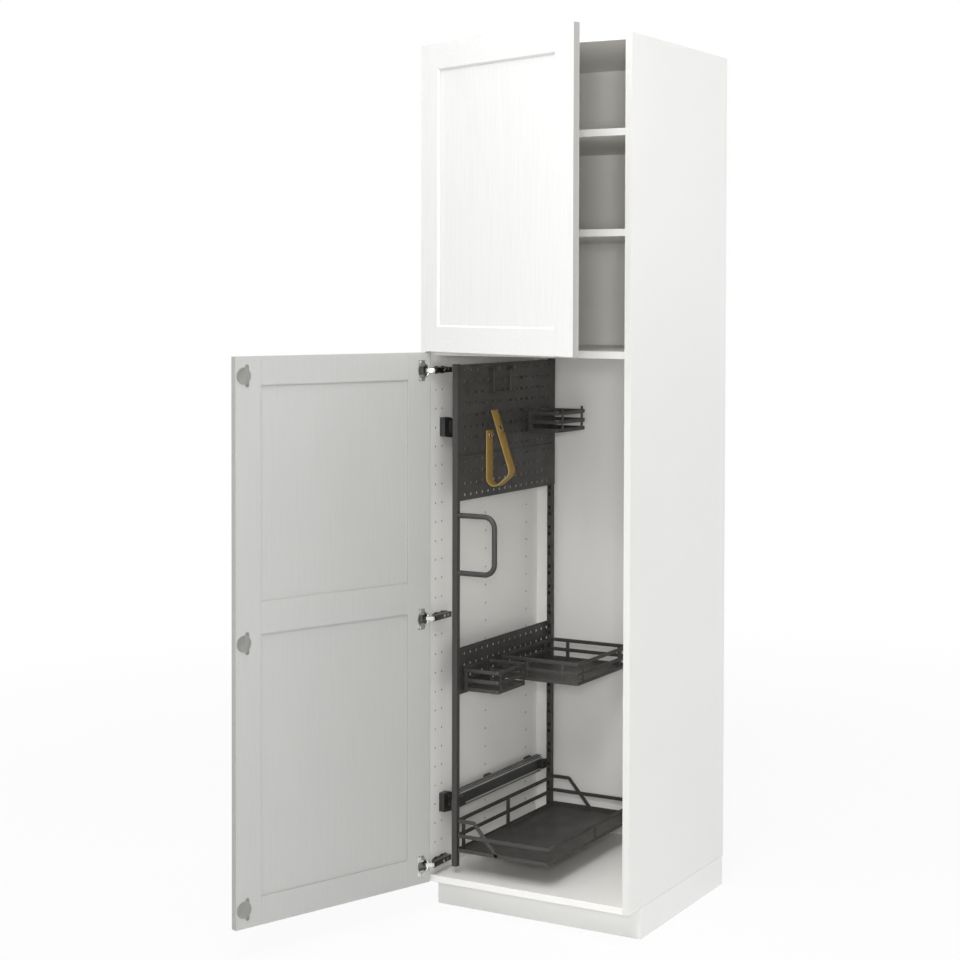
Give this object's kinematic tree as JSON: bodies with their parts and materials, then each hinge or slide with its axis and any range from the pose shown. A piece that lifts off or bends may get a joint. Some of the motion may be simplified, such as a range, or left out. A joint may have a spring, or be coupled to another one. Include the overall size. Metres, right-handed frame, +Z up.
{
  "type": "tall kitchen cabinet",
  "caption": "Tall white kitchen cabinet with framed doors on concealed hinges, loose shelves behind the upper door and a pull-out cleaning rack with trays behind the lower one.",
  "frame": {"origin": "on the floor at the middle of the cabinet's width, in the plane of the side panels' rear edges", "axes": "+X to the right seen from the front, +Y to the back (the doors are on the -Y side), +Z up"},
  "size_m": [0.7999, 1.1706, 2.28],
  "materials": {
    "white_foil": "matt white foil with a faint upright grain over fibreboard",
    "white_board": "smooth white melamine over chipboard",
    "white_back": "white lacquered thin fibreboard",
    "white_plinth": "smooth white melamine over chipboard",
    "strip_plastic": "white plastic profile",
    "anthracite_steel": "fine-textured anthracite powder coat",
    "dark_plastic": "dark grey moulded plastic",
    "runner_steel": "dark coated sheet steel",
    "glide_plastic": "low-friction plastic strip",
    "nickel_steel": "nickel-plated steel",
    "cap_plastic": "grey moulded plastic",
    "strap_leather": "mustard leather with cut edges",
    "snap_metal": "dark bronzed snap fastener"
  },
  "bodies": {
    "cabinet": {"side_panel_left": "white_board", "side_panel_right": "white_board", "top_panel": "white_board", "bottom_panel": "white_board", "fixed_shelf": "white_board", "shelf_upper": "white_board", "shelf_lower": "white_board", "back_panel_upper": "white_back", "back_panel_lower": "white_back", "back_joint_strip": "strip_plastic", "shelf_pins": "nickel_steel", "wall_brackets": "nickel_steel", "legs": "dark_plastic", "feet": "dark_plastic", "plinth_front": "white_plinth", "plinth_right": "white_plinth", "plinth_left": "white_plinth", "plinth_clips": "dark_plastic", "lower_hinge_arms": "nickel_steel", "lower_hinge_plates": "nickel_steel", "upper_hinge_arms": "nickel_steel", "upper_hinge_plates": "nickel_steel", "runner_cabinet_rail": "runner_steel", "runner_wall_brackets": "dark_plastic", "front_brackets": "dark_plastic", "guide_rail": "runner_steel"},
    "lower_door": {"lower_door_stiles": "white_foil", "lower_door_rails": "white_foil", "lower_door_panels": "white_foil", "lower_door_caps": "cap_plastic", "lower_hinge_cups": "nickel_steel"},
    "upper_door": {"upper_door_stiles": "white_foil", "upper_door_rails": "white_foil", "upper_door_panel": "white_foil", "upper_door_caps": "cap_plastic", "upper_hinge_cups": "nickel_steel"},
    "lower_links": {"lower_hinge_links": "nickel_steel"},
    "upper_links": {"upper_hinge_links": "nickel_steel"},
    "rack": {"front_post": "anthracite_steel", "rear_post": "anthracite_steel", "post_end_caps": "dark_plastic", "perforated_panel_upper": "anthracite_steel", "perforated_panel_lower": "anthracite_steel", "accessory_strip": "anthracite_steel", "pull_handle": "anthracite_steel", "top_basket": "anthracite_steel", "small_bin": "anthracite_steel", "side_tray": "anthracite_steel", "bottom_tray": "anthracite_steel", "runner_frame_rail": "runner_steel", "runner_frame_brackets": "dark_plastic", "guide_shoe": "dark_plastic", "bail_ears": "anthracite_steel", "strap_fixed_leg": "strap_leather", "strap_snap_stud": "snap_metal"},
    "runner_middle": {"runner_middle_rail": "runner_steel", "runner_glides": "glide_plastic"},
    "bail": {"wire_bail": "anthracite_steel"},
    "strap_leg": {"strap_free_leg": "strap_leather", "strap_snap_socket": "snap_metal"}
  },
  "joints": [
    {"name": "lower_door_hinge", "type": "hinge", "parent": "cabinet", "child": "lower_door", "pos_m": [-0.2905, -0.6135, 0.78], "axis": [0, 0, -1], "range_deg": [-110, 0]},
    {"name": "upper_door_hinge", "type": "hinge", "parent": "cabinet", "child": "upper_door", "pos_m": [-0.2905, -0.6135, 1.88], "axis": [0, 0, -1], "range_deg": [-20.75, 89.25]},
    {"name": "lower_link_turn", "type": "hinge", "parent": "cabinet", "child": "lower_links", "pos_m": [-0.26545, -0.61029, 0.78], "axis": [0, 0, -1], "range_deg": [-0.1, 26.5]},
    {"name": "upper_link_turn", "type": "hinge", "parent": "cabinet", "child": "upper_links", "pos_m": [-0.26545, -0.61029, 1.88], "axis": [0, 0, -1], "range_deg": [-21.5, 5.1]},
    {"name": "rack_slide", "type": "slide", "parent": "cabinet", "child": "rack", "axis": [0, -1, 0], "range_m": [0, 0.45]},
    {"name": "runner_middle_slide", "type": "slide", "parent": "cabinet", "child": "runner_middle", "axis": [0, -1, 0], "range_m": [0, 0.225]},
    {"name": "bail_swing", "type": "hinge", "parent": "rack", "child": "bail", "pos_m": [-0.2145, -0.3317, 1.431], "axis": [0, -1, 0], "range_deg": [0, 90]},
    {"name": "strap_open", "type": "hinge", "parent": "rack", "child": "strap_leg", "pos_m": [-0.1684, -0.4031, 1.12697], "axis": [0, 1, 0], "range_deg": [0, 70]}
  ],
  "couplings": [
    {"joint": "lower_link_turn", "follows": "lower_door_hinge", "ratio": -0.24},
    {"joint": "upper_link_turn", "follows": "upper_door_hinge", "ratio": -0.24},
    {"joint": "runner_middle_slide", "follows": "rack_slide", "ratio": 0.5}
  ]
}
